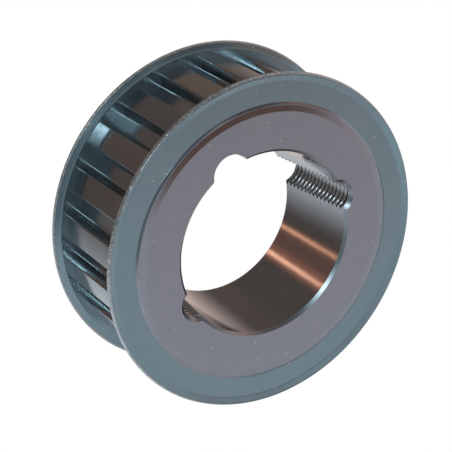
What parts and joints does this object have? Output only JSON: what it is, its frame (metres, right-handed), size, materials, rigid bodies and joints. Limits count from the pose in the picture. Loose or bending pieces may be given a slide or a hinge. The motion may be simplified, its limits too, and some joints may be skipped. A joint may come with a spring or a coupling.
{
  "type": "flanged timing belt pulley",
  "caption": "Flanged toothed belt pulley with a tapered bore and half-round screw holes that take a taper bush.",
  "frame": {"origin": "centre of the pulley's axis at the lowest edge of the rear flange, on the surface that it stands on", "axes": "+Z along the axis from the rear to the front face, where the bore is widest; +X through the centre of a belt groove"},
  "size_m": [0.087, 0.087, 0.0309],
  "materials": {
    "pulley_iron": "machined and phosphated, satin",
    "flange_steel": "zinc plated, semi-gloss"
  },
  "bodies": {
    "root": {"pulley_body": "pulley_iron", "front_flange": "flange_steel", "rear_flange": "flange_steel"}
  },
  "joints": []
}
